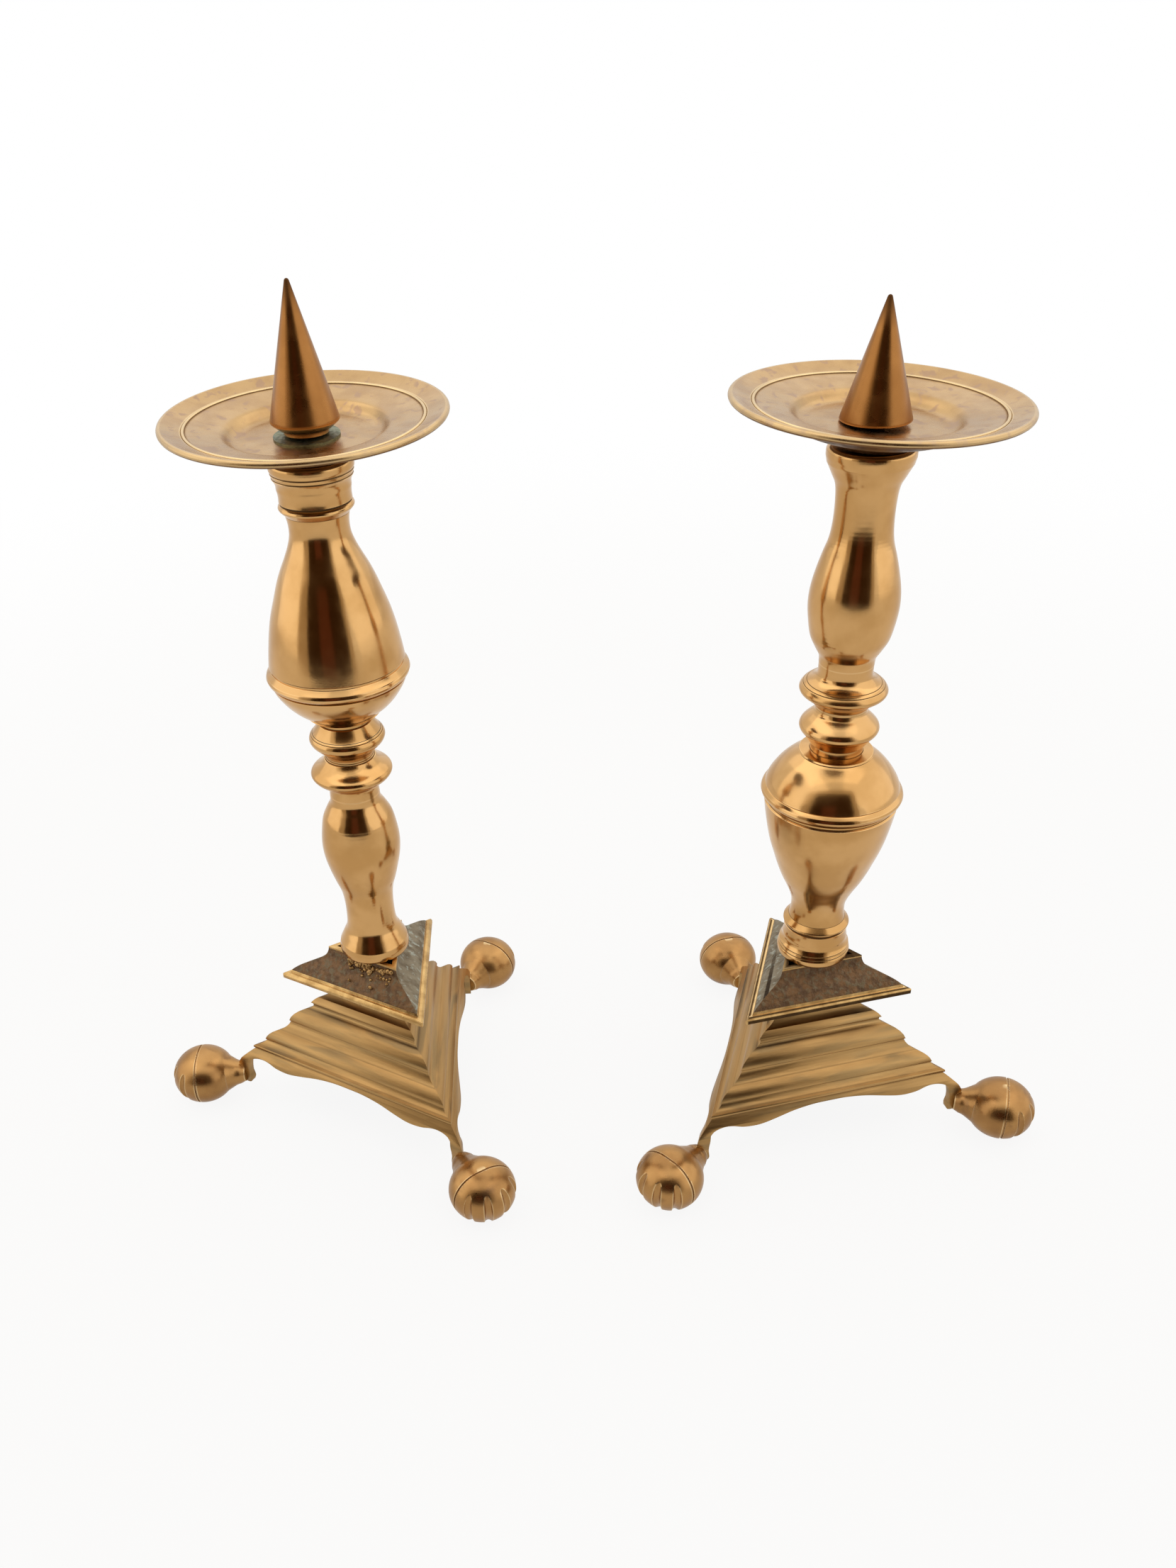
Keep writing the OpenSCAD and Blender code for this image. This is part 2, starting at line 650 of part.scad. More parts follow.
on_right() base();  // right_base
on_right() at_leg(0) foot();  // right_foot_outer
on_right() at_leg(1) foot();  // right_foot_back
on_right() at_leg(2) foot();  // right_foot_front
on_right() platform();  // right_platform
on_right() tie_rod(right_spike_z);  // right_tie_rod
on_right() base_washer();  // right_base_washer
on_right() base_nut();  // right_base_nut
on_right() upturned() stem_baluster();  // right_stem_baluster
on_right() upturned() stem_knops();  // right_stem_knops
on_right() upturned() stem_dome();  // right_stem_dome
on_right() upturned() stem_pear();  // right_stem_pear
on_right() right_tilted() drip_pan();  // right_drip_pan
on_right() translate([0, 0, right_spike_z]) spike(right_spike_h, right_chamfer, 0);  // right_pricket_spike
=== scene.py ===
# %% [markdown]
# # A pair of brass pricket candlesticks
# Two old candlesticks stand side by side. Each has a three-sided cast base on ball feet, a stem
# turned on a lathe, a wide drip pan and a spike that holds the candle. The imported model gives
# every solid its place in metres, so nothing is fitted by eye. This lesson gives the pieces
# smooth lathe curves, soft casting edges and worn brass. First the model is loaded.

# %% Load the imported model
import math
import bpy
import bmesh
import numpy as np
from mathutils import Matrix, Vector


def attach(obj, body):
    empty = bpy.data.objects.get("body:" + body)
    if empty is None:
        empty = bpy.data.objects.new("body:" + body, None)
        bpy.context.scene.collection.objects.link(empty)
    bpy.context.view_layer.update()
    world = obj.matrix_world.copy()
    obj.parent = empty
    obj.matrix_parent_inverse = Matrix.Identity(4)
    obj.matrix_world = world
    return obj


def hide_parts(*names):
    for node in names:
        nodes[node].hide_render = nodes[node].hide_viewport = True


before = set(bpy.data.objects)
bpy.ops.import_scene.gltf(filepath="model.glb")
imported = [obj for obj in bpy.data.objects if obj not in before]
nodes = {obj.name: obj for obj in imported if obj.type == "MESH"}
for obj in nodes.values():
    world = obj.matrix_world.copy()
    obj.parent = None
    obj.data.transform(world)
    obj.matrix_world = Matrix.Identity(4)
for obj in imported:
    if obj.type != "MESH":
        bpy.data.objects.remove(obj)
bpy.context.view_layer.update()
MM = 0.001

# %% [markdown]
# ## The camera
# The photograph was taken from a little above the pans, looking down at the feet. A camera was
# fitted to the rims, rings and feet of both sticks, which gives its lens, its place and its small
# roll. The picture is a crop of a larger one, and the lens shift stands for that.

# %% Camera
IMAGE_W, IMAGE_H = 1659, 2212
focal_px = 1780.0
middle_px = (730.6, 1268.1)
sensor_mm = 36.0
look_down, roll, heading = math.radians(35.50), math.radians(-2.860), math.radians(5.402)
camera_place = Vector((10.19, -395.97, 379.20)) * MM

lens = bpy.data.cameras.new("view")
camera = bpy.data.objects.new("view", lens)
bpy.context.scene.collection.objects.link(camera)
lens.sensor_fit = "VERTICAL"
lens.sensor_height = sensor_mm
lens.lens = focal_px / IMAGE_H * sensor_mm
lens.shift_x = (IMAGE_W / 2 - middle_px[0]) / IMAGE_H
lens.shift_y = (middle_px[1] - IMAGE_H / 2) / IMAGE_H
lens.clip_start = 0.01
level = math.cos(look_down)
ahead = Vector((-math.sin(heading) * level, math.cos(heading) * level, -math.sin(look_down)))
side = Vector((math.cos(heading), math.sin(heading), 0))
above = side.cross(ahead)
across = math.cos(roll) * side + math.sin(roll) * above
upward = -math.sin(roll) * side + math.cos(roll) * above
place = Matrix((across, upward, -ahead)).transposed().to_4x4()
place.translation = camera_place
camera.matrix_world = place
bpy.context.scene.camera = camera
print("lens %.2f mm, shift %.4f %.4f" % (lens.lens, lens.shift_x, lens.shift_y))

# %% [markdown]
# ## Floor, light tent and its dark opening
# Polished brass shows what stands around it. These sticks stood in a white light tent, open at
# the front, and every convex piece mirrors that opening as a dark upright patch. So the floor and
# the world are white. The world shines full for the camera and for mirrors, and weaker as a
# light.

# %% World
scene = bpy.context.scene
scene.view_settings.view_transform = "Standard"


def deselect():
    bpy.ops.object.select_all(action="DESELECT")


def shader(name):
    material = bpy.data.materials.new(name)
    material.use_nodes = True
    material.node_tree.nodes.clear()
    return material, material.node_tree.nodes, material.node_tree.links


tent_seen, tent_light = 1.0, 0.62
world = bpy.data.worlds.new("white_tent")
scene.world = world
world.use_nodes = True
sky = world.node_tree
sky.nodes.clear()
seen = sky.nodes.new("ShaderNodeBackground")
seen.inputs["Color"].default_value = (1, 1, 1, 1)
seen.inputs["Strength"].default_value = tent_seen
lit = sky.nodes.new("ShaderNodeBackground")
lit.inputs["Color"].default_value = (1.0, 0.985, 0.96, 1)
lit.inputs["Strength"].default_value = tent_light
rays = sky.nodes.new("ShaderNodeLightPath")
camera_or_mirror = sky.nodes.new("ShaderNodeMath")
shown = sky.nodes.new("ShaderNodeMath")
for either in (camera_or_mirror, shown):
    either.operation = "ADD"
    either.use_clamp = True
mix = sky.nodes.new("ShaderNodeMixShader")
out = sky.nodes.new("ShaderNodeOutputWorld")
sky.links.new(rays.outputs["Is Camera Ray"], camera_or_mirror.inputs[0])
sky.links.new(rays.outputs["Is Glossy Ray"], camera_or_mirror.inputs[1])
sky.links.new(camera_or_mirror.outputs[0], shown.inputs[0])
sky.links.new(rays.outputs["Is Transmission Ray"], shown.inputs[1])
sky.links.new(shown.outputs[0], mix.inputs[0])
sky.links.new(lit.outputs[0], mix.inputs[1])
sky.links.new(seen.outputs[0], mix.inputs[2])
sky.links.new(mix.outputs[0], out.inputs["Surface"])

print("world:", world.name, "seen at", tent_seen, "and lights at", tent_light)

# %% [markdown]
# ## The floor
# For the camera the floor is a glow, as white as the tent behind it. Near the sticks a tenth of
# it is matt paint instead, which takes their soft shadows. Seen in the mirror of the brass, six
# tenths of it glow. It sheds light on the sticks as plain paint does.

# %% Floor
floor_size = 12.0
near_reach, far_reach = 0.35, 1.0
near_glow, far_glow, mirror_glow = 0.90, 1.0, 0.6

deselect()
bpy.ops.mesh.primitive_plane_add(size=floor_size, location=(0, 0, 0))
floor = bpy.context.object
floor.name = "floor"
floor_paint, n, l = shader("white_floor")
matt = n.new("ShaderNodeBsdfDiffuse")
matt.inputs["Color"].default_value = (0.74, 0.70, 0.64, 1)
glow = n.new("ShaderNodeEmission")
glow.inputs["Color"].default_value = (1, 1, 1, 1)
glow.inputs["Strength"].default_value = 1.0
rays = n.new("ShaderNodeLightPath")
place = n.new("ShaderNodeTexCoord")
reach = n.new("ShaderNodeVectorMath")
reach.operation = "LENGTH"
far = n.new("ShaderNodeMapRange")
far.interpolation_type = "SMOOTHSTEP"
for word, number in (("From Min", near_reach), ("From Max", far_reach),
                     ("To Min", near_glow), ("To Max", far_glow)):
    far.inputs[word].default_value = number
mirrored = n.new("ShaderNodeMath")
mirrored.operation = "MULTIPLY"
mirrored.inputs[1].default_value = mirror_glow
share = n.new("ShaderNodeMath")
share.operation = "MULTIPLY_ADD"
blend = n.new("ShaderNodeMixShader")
out = n.new("ShaderNodeOutputMaterial")
l.new(place.outputs["Object"], reach.inputs[0])
l.new(reach.outputs["Value"], far.inputs["Value"])
l.new(rays.outputs["Is Glossy Ray"], mirrored.inputs[0])
l.new(rays.outputs["Is Camera Ray"], share.inputs[0])
l.new(far.outputs[0], share.inputs[1])
l.new(mirrored.outputs[0], share.inputs[2])
l.new(share.outputs[0], blend.inputs[0])
l.new(matt.outputs[0], blend.inputs[1])
l.new(glow.outputs[0], blend.inputs[2])
l.new(blend.outputs[0], out.inputs["Surface"])
floor.data.materials.append(floor_paint)
print("floor:", floor_size, "m wide, glows", near_glow, "near the sticks,", far_glow, "far away")

# %% [markdown]
# ## Cards and lamps
# Where the tent was open, far in front of the sticks, hang three cards: a wide tan one, a dark
# one before it and a narrow brown one before that. The camera doesn't see them, the brass does.
# Three large and weak lamps hang at the left, at the right and above. Small strong lamps would
# burn white spots in the brass.

# %% Cards
def hung_card(name, place, size, colour):
    deselect()
    bpy.ops.mesh.primitive_plane_add(size=1.0, location=(0, 0, 0))
    card = bpy.context.object
    card.name = name
    card.data.transform(Matrix.Diagonal((*size, 1, 1)))
    card.data.transform(Matrix.Rotation(math.radians(90), 4, "X"))
    card.data.transform(Matrix.Translation(place))
    paint, n, l = shader(name + "_cloth")
    cloth = n.new("ShaderNodeBsdfDiffuse")
    cloth.inputs["Color"].default_value = (*colour, 1)
    out = n.new("ShaderNodeOutputMaterial")
    l.new(cloth.outputs[0], out.inputs["Surface"])
    card.data.materials.append(paint)
    card.visible_camera = False


hung_card("tan_card", (-0.30, -1.02, 0.75), (2.4, 1.5), (0.60, 0.53, 0.44))
hung_card("dark_card", (-0.06, -0.95, 0.58), (1.36, 1.12), (0.050, 0.026, 0.012))
hung_card("brown_card", (-0.10, -0.93, 0.36), (0.36, 0.56), (0.13, 0.05, 0.032))
print("three cards hang where the tent is open")

# %% Lamps
def lamp(name, place, aim, size, watts, tint):
    light = bpy.data.lights.new(name, "AREA")
    light.shape = "RECTANGLE"
    light.size, light.size_y = size
    light.energy = watts
    light.color = tint
    thing = bpy.data.objects.new(name, light)
    bpy.context.scene.collection.objects.link(thing)
    thing.location = place
    thing.rotation_euler = (Vector(aim) - Vector(place)).to_track_quat("-Z", "Y").to_euler()


lamp("left_softbox", (-1.25, -0.35, 0.95), (0, 0, 0.12), (2.4, 2.4), 8.5, (1.0, 0.95, 0.87))
lamp("right_softbox", (1.25, -0.10, 1.00), (0, 0, 0.12), (2.4, 2.4), 6.5, (1.0, 0.96, 0.90))
lamp("top_softbox", (0.0, 0.45, 1.40), (0, 0, 0.1), (2.6, 2.6), 9, (1.0, 0.98, 0.95))
print("three soft lamps are set")

# %% [markdown]
# ## Turning a piece
# Stems, pans and spikes are turned on a lathe. In Blender the lathe is the Spin tool: a plane is
# merged into one point, that point is extruded along the outline, and the outline is spun about
# the axis. The outline of a stem section is read from its own solid, and a smooth curve is drawn
# through its points, so polished brass shows no steps. A corner that turns sharply stays a
# corner.

# %% Outline of a turned solid
pair_spacing, centre = 170.5 * MM, Vector((-0.92776, 5.09069, 0)) * MM
AXIS = {"left": Vector((-pair_spacing / 2, 0, 0)) - centre,
        "right": Vector((pair_spacing / 2, 0, 0)) - centre}
bore_r, bore_slack = 3.5 * MM, 0.1 * MM
same_height, same_radius = 4e-6, 8e-6
long_step = 0.5 * MM


def outline_of(node, axis):
    found = sorted((v.co.z, math.hypot(v.co.x - axis.x, v.co.y - axis.y))
                   for v in nodes[node].data.vertices)
    rings = []
    for z, r in found:
        if r < bore_r + bore_slack:
            continue
        if rings and z - rings[-1][0] < same_height:
            if all(abs(r - q) > same_radius for q in rings[-1][1]):
                rings[-1][1].append(r)
        else:
            rings.append([z, [r]])
    line = []
    for z, radii in rings:
        last = line[-1][0] if line else bore_r
        for r in sorted(radii, key=lambda q: abs(q - last)):
            line.append((r, z))
    return line


def turn_at(a, b, c):
    one, two = Vector(b) - Vector(a), Vector(c) - Vector(b)
    if min(one.length, two.length) < 1e-9:
        return 0.0
    return math.degrees(one.angle(two))


def refined(line, parts=3, corner=24.0):
    turns = [turn_at(*line[i - 1:i + 2]) > corner for i in range(1, len(line) - 1)]
    sharp = [True] + turns + [True]
    result = []
    for i in range(len(line) - 1):
        b, c = Vector(line[i]), Vector(line[i + 1])
        a = b if sharp[i] else Vector(line[i - 1])
        d = c if sharp[i + 1] else Vector(line[i + 2])
        cuts = parts if (c - b).length > long_step else 1
        second, third = 2 * a - 5 * b + 4 * c - d, 3 * b - a - 3 * c + d
        for k in range(cuts):
            t = k / cuts
            bend = (c - a) * t + second * t ** 2 + third * t ** 3
            result.append(tuple(b + bend / 2))
    return result + [tuple(line[-1])]


sample = refined(outline_of("left_stem_pear", AXIS["left"]))
print("pear section:", len(sample), "points from", sample[0], "to", sample[-1])

# %% The lathe
turned_corner, turned_weld = 28, 1e-6


def drawn(name, line):
    deselect()
    bpy.ops.mesh.primitive_plane_add(size=1 * MM, location=(0, 0, 0))
    piece = bpy.context.object
    piece.name = name
    piece.data.name = name
    bpy.ops.object.mode_set(mode="EDIT")
    bpy.ops.mesh.select_all(action="SELECT")
    bpy.ops.mesh.merge(type="CENTER")
    bpy.ops.transform.translate(value=(line[0][0], 0, line[0][1]))
    for before, after in zip(line, line[1:]):
        step = (after[0] - before[0], 0, after[1] - before[1])
        bpy.ops.mesh.extrude_region_move(TRANSFORM_OT_translate={"value": step})
    bpy.ops.object.mode_set(mode="OBJECT")
    return piece


def lathed(name, line, axis=(0, 0, 0), steps=96):
    piece = drawn(name, line)
    bpy.ops.object.mode_set(mode="EDIT")
    bpy.ops.mesh.select_all(action="SELECT")
    bpy.ops.transform.translate(value=(axis[0], axis[1], 0))
    bpy.ops.mesh.spin(steps=steps, angle=math.radians(360), center=(axis[0], axis[1], 0),
                      axis=(0, 0, 1))
    bpy.ops.mesh.select_all(action="SELECT")
    bpy.ops.mesh.remove_doubles(threshold=turned_weld)
    bpy.ops.mesh.normals_make_consistent(inside=False)
    bpy.ops.object.mode_set(mode="OBJECT")
    soften(piece, turned_corner)
    return piece


def soften(piece, angle):
    deselect()
    piece.select_set(True)
    bpy.context.view_layer.objects.active = piece
    bpy.ops.object.shade_smooth_by_angle(angle=math.radians(angle))


print("the lathe is ready")

# %% [markdown]
# ## Where hands and polish never reach
# On the real sticks the brass stays bright on every ridge and goes dark in every groove. Each
# finished piece therefore gets two painted marks on its points: `hollow` for grooves and `ridge`
# for edges. They are worked out from the angle between neighbouring faces, and the finishes read
# them. A mark grows from nothing at the first angle to full at the second one. The very short
# edges and thin slivers of faces that a bevel leaves don't count.

# %% Marks for grooves and edges
TURNED_ANGLES, PLATE_ANGLES = (8.0, 32.0), (26.0, 60.0)
shortest, sliver = 0.02 * MM, (0.005 * MM) ** 2


def mark_wear(piece, low, high):
    shape = bmesh.new()
    shape.from_mesh(piece.data)
    hollow, ridge = [], []
    for v in shape.verts:
        angles = [e.calc_face_angle_signed(0.0) for e in v.link_edges
                  if len(e.link_faces) == 2 and e.calc_length() > shortest
                  and min(f.calc_area() for f in e.link_faces) > sliver]
        bend = [math.degrees(a) for a in angles]
        up, down = max(bend, default=0.0), -min(bend, default=0.0)
        ridge.append(min(max((up - low) / (high - low), 0.0), 1.0))
        hollow.append(min(max((down - low) / (high - low), 0.0), 1.0))
    shape.free()
    for word, values in (("hollow", hollow), ("ridge", ridge)):
        mark = piece.data.attributes.new(word, "FLOAT", "POINT")
        mark.data.foreach_set("value", values)
    return sum(1 for h in hollow if h > 0.5), sum(1 for r in ridge if r > 0.5)


def place_piece(piece, body, node, slot, *paints, angles=TURNED_ANGLES):
    which = [min(face.material_index, len(paints) - 1) for face in piece.data.polygons]
    piece.data.materials.clear()
    for paint in paints:
        piece.data.materials.append(paint)
    piece.data.polygons.foreach_set("material_index", which)
    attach(piece, body)
    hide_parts(node)
    marks = mark_wear(piece, *angles)
    print(piece.name, "points", len(piece.data.vertices), "hollow and ridge marks", marks)


print("marks start and are full at degrees:", TURNED_ANGLES, "and on platforms", PLATE_ANGLES)

# %% [markdown]
# ## The finishes
# All the brass is one metal, but not one finish. The stems and spikes are polished like a mirror,
# the bases and feet are worn satin castings, the pans are finely pitted, and the platforms are
# dull, brown in front and stained grey-green at the sides. One helper builds a metal from two
# tones, a stain, two bumps and the two marks. Sizes are per metre, so a noise of 400 has spots of
# 2.5 mm.

# %% A worn metal
patch_edge, gloss_edge, gloss_ratio = (0.38, 0.66), (0.35, 0.7), 2.3
mark_start, grime_most, edge_most = 0.15, 0.9, 0.65
grain_height, dent_height = 0.5 * MM, 2.0 * MM


def tone(rgb):
    return (*rgb, 1.0)


def worn_metal(name, light, dark, grime, edge, rough=(0.12, 0.25), patches=90,
               stain=None, stain_size=260, stain_edge=(0.56, 0.66), grain=1800, grain_depth=0.02,
               dent=140, dent_depth=0.05, grime_rough=0.6, stretch=(1, 1, 1), metallic=1.0):
    material, n, l = shader(name)
    place = n.new("ShaderNodeTexCoord")
    scale = n.new("ShaderNodeMapping")
    scale.inputs["Scale"].default_value = stretch
    l.new(place.outputs["Object"], scale.inputs["Vector"])

    def noise(size, detail=5.0, distort=0.0):
        node = n.new("ShaderNodeTexNoise")
        node.inputs["Scale"].default_value = size
        node.inputs["Detail"].default_value = detail
        node.inputs["Distortion"].default_value = distort
        l.new(scale.outputs[0], node.inputs["Vector"])
        return node.outputs["Fac"]

    def spread(value, low, high, to=(0.0, 1.0)):
        node = n.new("ShaderNodeMapRange")
        node.interpolation_type = "SMOOTHSTEP"
        l.new(value, node.inputs["Value"])
        for word, number in (("From Min", low), ("From Max", high),
                             ("To Min", to[0]), ("To Max", to[1])):
            node.inputs[word].default_value = number
        return node.outputs[0]

    def mixed(share, a, b):
        node = n.new("ShaderNodeMix")
        node.data_type = "RGBA"
        l.new(share, node.inputs[0])
        for socket, value in ((node.inputs[6], a), (node.inputs[7], b)):
            if isinstance(value, tuple):
                socket.default_value = value
            else:
                l.new(value, socket)
        return node.outputs[2]

    def mark(word, most):
        node = n.new("ShaderNodeAttribute")
        node.attribute_name = word
        return spread(node.outputs["Fac"], mark_start, 1.0, (0.0, most))

    colour = mixed(spread(noise(patches), *patch_edge), tone(light), tone(dark))
    if stain:
        colour = mixed(spread(noise(stain_size, 8.0, 0.4), *stain_edge), colour, tone(stain))
    hollow, ridge = mark("hollow", grime_most), mark("ridge", edge_most)
    colour = mixed(hollow, colour, tone(grime))
    colour = mixed(ridge, colour, tone(edge))
    roughness = spread(noise(patches * gloss_ratio, 6.0), *gloss_edge, rough)
    worse = n.new("ShaderNodeMath")
    worse.operation = "MULTIPLY_ADD"
    worse.use_clamp = True
    l.new(hollow, worse.inputs[0])
    worse.inputs[1].default_value = grime_rough
    l.new(roughness, worse.inputs[2])
    fine = n.new("ShaderNodeBump")
    fine.inputs["Strength"].default_value = grain_depth
    fine.inputs["Distance"].default_value = grain_height
    l.new(noise(grain, 3.0), fine.inputs["Height"])
    coarse = n.new("ShaderNodeBump")
    coarse.inputs["Strength"].default_value = dent_depth
    coarse.inputs["Distance"].default_value = dent_height
    l.new(noise(dent, 2.0), coarse.inputs["Height"])
    l.new(fine.outputs[0], coarse.inputs["Normal"])
    metal = n.new("ShaderNodeBsdfPrincipled")
    metal.inputs["Metallic"].default_value = metallic
    l.new(colour, metal.inputs["Base Color"])
    l.new(worse.outputs[0], metal.inputs["Roughness"])
    l.new(coarse.outputs[0], metal.inputs["Normal"])
    out = n.new("ShaderNodeOutputMaterial")
    l.new(metal.outputs[0], out.inputs["Surface"])
    return material


print("the helper for worn metal is ready")

# %% [markdown]
# ## Twelve metals
# Each metal has a light and a dark tone that change in patches, a grime tone for the hollow marks
# and an edge tone for the ridge marks. Some have a stain, and the castings are streaked by a
# stretched noise.

# %% Brass, solder and iron
polished = worn_metal(
    "polished_brass", light=(0.63, 0.37, 0.146), dark=(0.53, 0.295, 0.104),
    grime=(0.085, 0.045, 0.018), edge=(0.76, 0.5, 0.24), rough=(0.14, 0.21), patches=60,
    grain_depth=0.015, dent=70, dent_depth=0.03)
spike_brass = worn_metal(
    "spike_brass", light=(0.36, 0.16, 0.046), dark=(0.3, 0.13, 0.036),
    grime=(0.06, 0.025, 0.01), edge=(0.74, 0.38, 0.14), rough=(0.25, 0.33), patches=70,
    grain_depth=0.015, dent=90, dent_depth=0.02)
pan_brass = worn_metal(
    "pan_brass", light=(0.47, 0.3, 0.135), dark=(0.4, 0.245, 0.11), grime=(0.18, 0.095, 0.04),
    edge=(0.84, 0.64, 0.34), rough=(0.24, 0.34), patches=100, stain=(0.37, 0.23, 0.13),
    stain_size=230, grain=1500, grain_depth=0.02, dent=150, dent_depth=0.03)
# Painted shade: a dark metal for the underside and hub of each pan, standing in for the shade
# under the pan.
pan_painted_shade = worn_metal(
    "pan_brass_painted_shade", light=(0.14, 0.07, 0.028), dark=(0.08, 0.04, 0.018),
    grime=(0.03, 0.015, 0.01), edge=(0.5, 0.28, 0.11), rough=(0.35, 0.5), patches=160,
    grain_depth=0.08)
cast_brass = worn_metal(
    "cast_brass", light=(0.3, 0.158, 0.052), dark=(0.18, 0.092, 0.03),
    grime=(0.03, 0.016, 0.008), edge=(0.66, 0.42, 0.17), rough=(0.3, 0.44), patches=150,
    stain=(0.1, 0.062, 0.03), stain_size=210, stain_edge=(0.5, 0.66), grain=1100,
    grain_depth=0.08, dent=160, dent_depth=0.08, stretch=(0.16, 0.16, 1.6))
foot_brass = worn_metal(
    "foot_brass", light=(0.45, 0.245, 0.088), dark=(0.33, 0.17, 0.06), grime=(0.62, 0.46, 0.28),
    edge=(0.86, 0.66, 0.36), rough=(0.26, 0.36), patches=60, stain=(0.26, 0.14, 0.06),
    stain_size=90, stain_edge=(0.58, 0.74), grain=1400, grain_depth=0.04, dent=100,
    dent_depth=0.03)
brown_plate = worn_metal(
    "dull_brass_brown", light=(0.2, 0.1, 0.034), dark=(0.11, 0.055, 0.02),
    grime=(0.04, 0.022, 0.012), edge=(0.6, 0.38, 0.15), rough=(0.5, 0.68), patches=330,
    stain=(0.17, 0.12, 0.06), stain_size=520, stain_edge=(0.5, 0.64), grain=1600,
    grain_depth=0.35, dent=520, dent_depth=0.3, metallic=0.3)
grey_plate = worn_metal(
    "dull_brass_grey", light=(0.27, 0.225, 0.15), dark=(0.16, 0.12, 0.07),
    grime=(0.04, 0.022, 0.012), edge=(0.62, 0.42, 0.19), rough=(0.5, 0.68), patches=240,
    stain=(0.37, 0.37, 0.3), stain_size=420, stain_edge=(0.54, 0.66), grain=1600,
    grain_depth=0.3, dent=420, dent_depth=0.25, stretch=(1, 1, 0.35), metallic=0.6)
worn_lip = worn_metal(
    "dull_brass_lip", light=(0.62, 0.4, 0.16), dark=(0.42, 0.25, 0.09),
    grime=(0.07, 0.035, 0.015), edge=(0.9, 0.68, 0.36), rough=(0.26, 0.4), patches=200,
    grain_depth=0.08)
solder = worn_metal(
    "dull_brass_solder", light=(0.5, 0.31, 0.125), dark=(0.24, 0.135, 0.05),
    grime=(0.06, 0.03, 0.015), edge=(0.7, 0.5, 0.24), rough=(0.35, 0.5), patches=700,
    grain_depth=0.2)
green_brass = worn_metal(
    "green_brass", light=(0.24, 0.26, 0.17), dark=(0.15, 0.17, 0.12), grime=(0.03, 0.03, 0.02),
    edge=(0.72, 0.66, 0.42), rough=(0.35, 0.55), patches=420, grain=1800, grain_depth=0.2)
dark_iron = worn_metal(
    "dark_iron", light=(0.12, 0.1, 0.09), dark=(0.07, 0.05, 0.04), grime=(0.03, 0.02, 0.015),
    edge=(0.3, 0.26, 0.22), rough=(0.4, 0.6), patches=300, grain=1600, grain_depth=0.3)
metals = (polished, spike_brass, pan_brass, pan_painted_shade, cast_brass, foot_brass, brown_plate,
          grey_plate, worn_lip, solder, green_brass, dark_iron)
print(len(metals), "metals are mixed:", ", ".join(metal.name for metal in metals))

# %% [markdown]
# ## The stems
# A stem is four turned sections on one rod. They are spun one by one from their own outlines. The
# right stick carries the same four sections upside down, as somebody once screwed it together.
# The turner scribed a pair of fine lines on two of the rims, and a small V in the outline makes
# each.

# %% Scribed lines
def scribed(line, heights, deep=0.16 * MM, wide=0.15 * MM):
    result = [line[0]]
    for a, b in zip(line, line[1:]):
        for z in sorted((h * MM for h in heights), reverse=a[1] > b[1]):
            if min(a[1], b[1]) < z < max(a[1], b[1]):
                t = (z - a[1]) / (b[1] - a[1])
                r = a[0] + t * (b[0] - a[0])
                along = Vector((b[0] - a[0], b[1] - a[1])).normalized() * wide
                result += [(r - along.x, z - along.y), (r - deep, z), (r + along.x, z + along.y)]
        result.append(b)
    return result


LINES = {"left_stem_knops": (171.75, 172.45), "right_stem_knops": (188.85, 189.65)}
print("scribed lines at heights in mm:", LINES)

# %% Stem sections
for side_name in ("left", "right"):
    for section in ("stem_baluster", "stem_knops", "stem_dome", "stem_pear"):
        node = side_name + "_" + section
        axis = AXIS[side_name]
        line = scribed(refined(outline_of(node, axis)), LINES.get(node, ()))
        first, last = (bore_r, line[0][1]), (bore_r, line[-1][1])
        line = [first] + line + [last, first]
        turned = lathed(node + "_turned", line, axis)
        place_piece(turned, "stands", node, "polished_brass", polished)

# %% [markdown]
# ## The drip pans
# Each pan is a shallow dish with a wide sloping brim, one fine raised ring, a rounded rim and a
# dished well. A hub below it sits on the stem. The hub and every face of the underside that turns
# downwards get a dark metal, which is painted shade under the pan. The pans are loose on their
# stems and sit a little askew, so each is spun upright and then tilted about its seat.

# %% Pan outline
pan_under = [(3.8, 0), (12.2, 0), (13.0, 0.8), (13.7, 1.6), (14.2, 2.5), (14.6, 3.1), (16.4, 3.6),
             (20.0, 3.8), (23.7, 4.2), (26.0, 5.4), (27.9, 6.62), (33.0, 8.05), (38.0, 9.45),
             (42.2, 10.62)]
pan_brim = [(41.6, 12.46), (39.4, 11.62), (37.3, 10.96)]
pan_well = [(35.9, 10.62), (33.0, 10.12), (29.5, 9.45), (27.2, 9.0), (25.8, 8.62), (24.8, 7.85),
            (23.9, 6.85), (22.8, 6.08), (21.4, 5.76), (19.5, 5.7), (12.0, 5.7), (3.8, 5.7),
            (3.8, 0)]


def arc(middle_r, middle_z, wide, high, degrees):
    angles = [math.radians(a) for a in degrees]
    return [(middle_r + wide * math.cos(a), middle_z + high * math.sin(a)) for a in angles]


pan_rim = arc(43.15, 11.95, 1.05, 1.05, range(-60, 125, 20))
pan_ring = arc(36.6, 10.75, 0.5, 0.45, range(0, 181, 30))
pan_line = [(r * MM, z * MM) for r, z in pan_under + pan_rim + pan_brim + pan_ring + pan_well]
print("pan outline:", len(pan_line), "points, widest at", max(r for r, z in pan_line))

# %% Pans, spun and tilted
pan_seat = {"left": 267.2247 * MM, "right": 267.246 * MM}
pan_tilt = {"left": (2.7, 93), "right": (2.8, 165)}
pan_steps, pan_corner = 160, 30
# The hub, and faces that turn further down than facing_down, get the painted shade of the
# underside.
hub_r, hub_h, facing_down = 14.5 * MM, 3.5 * MM, -0.2


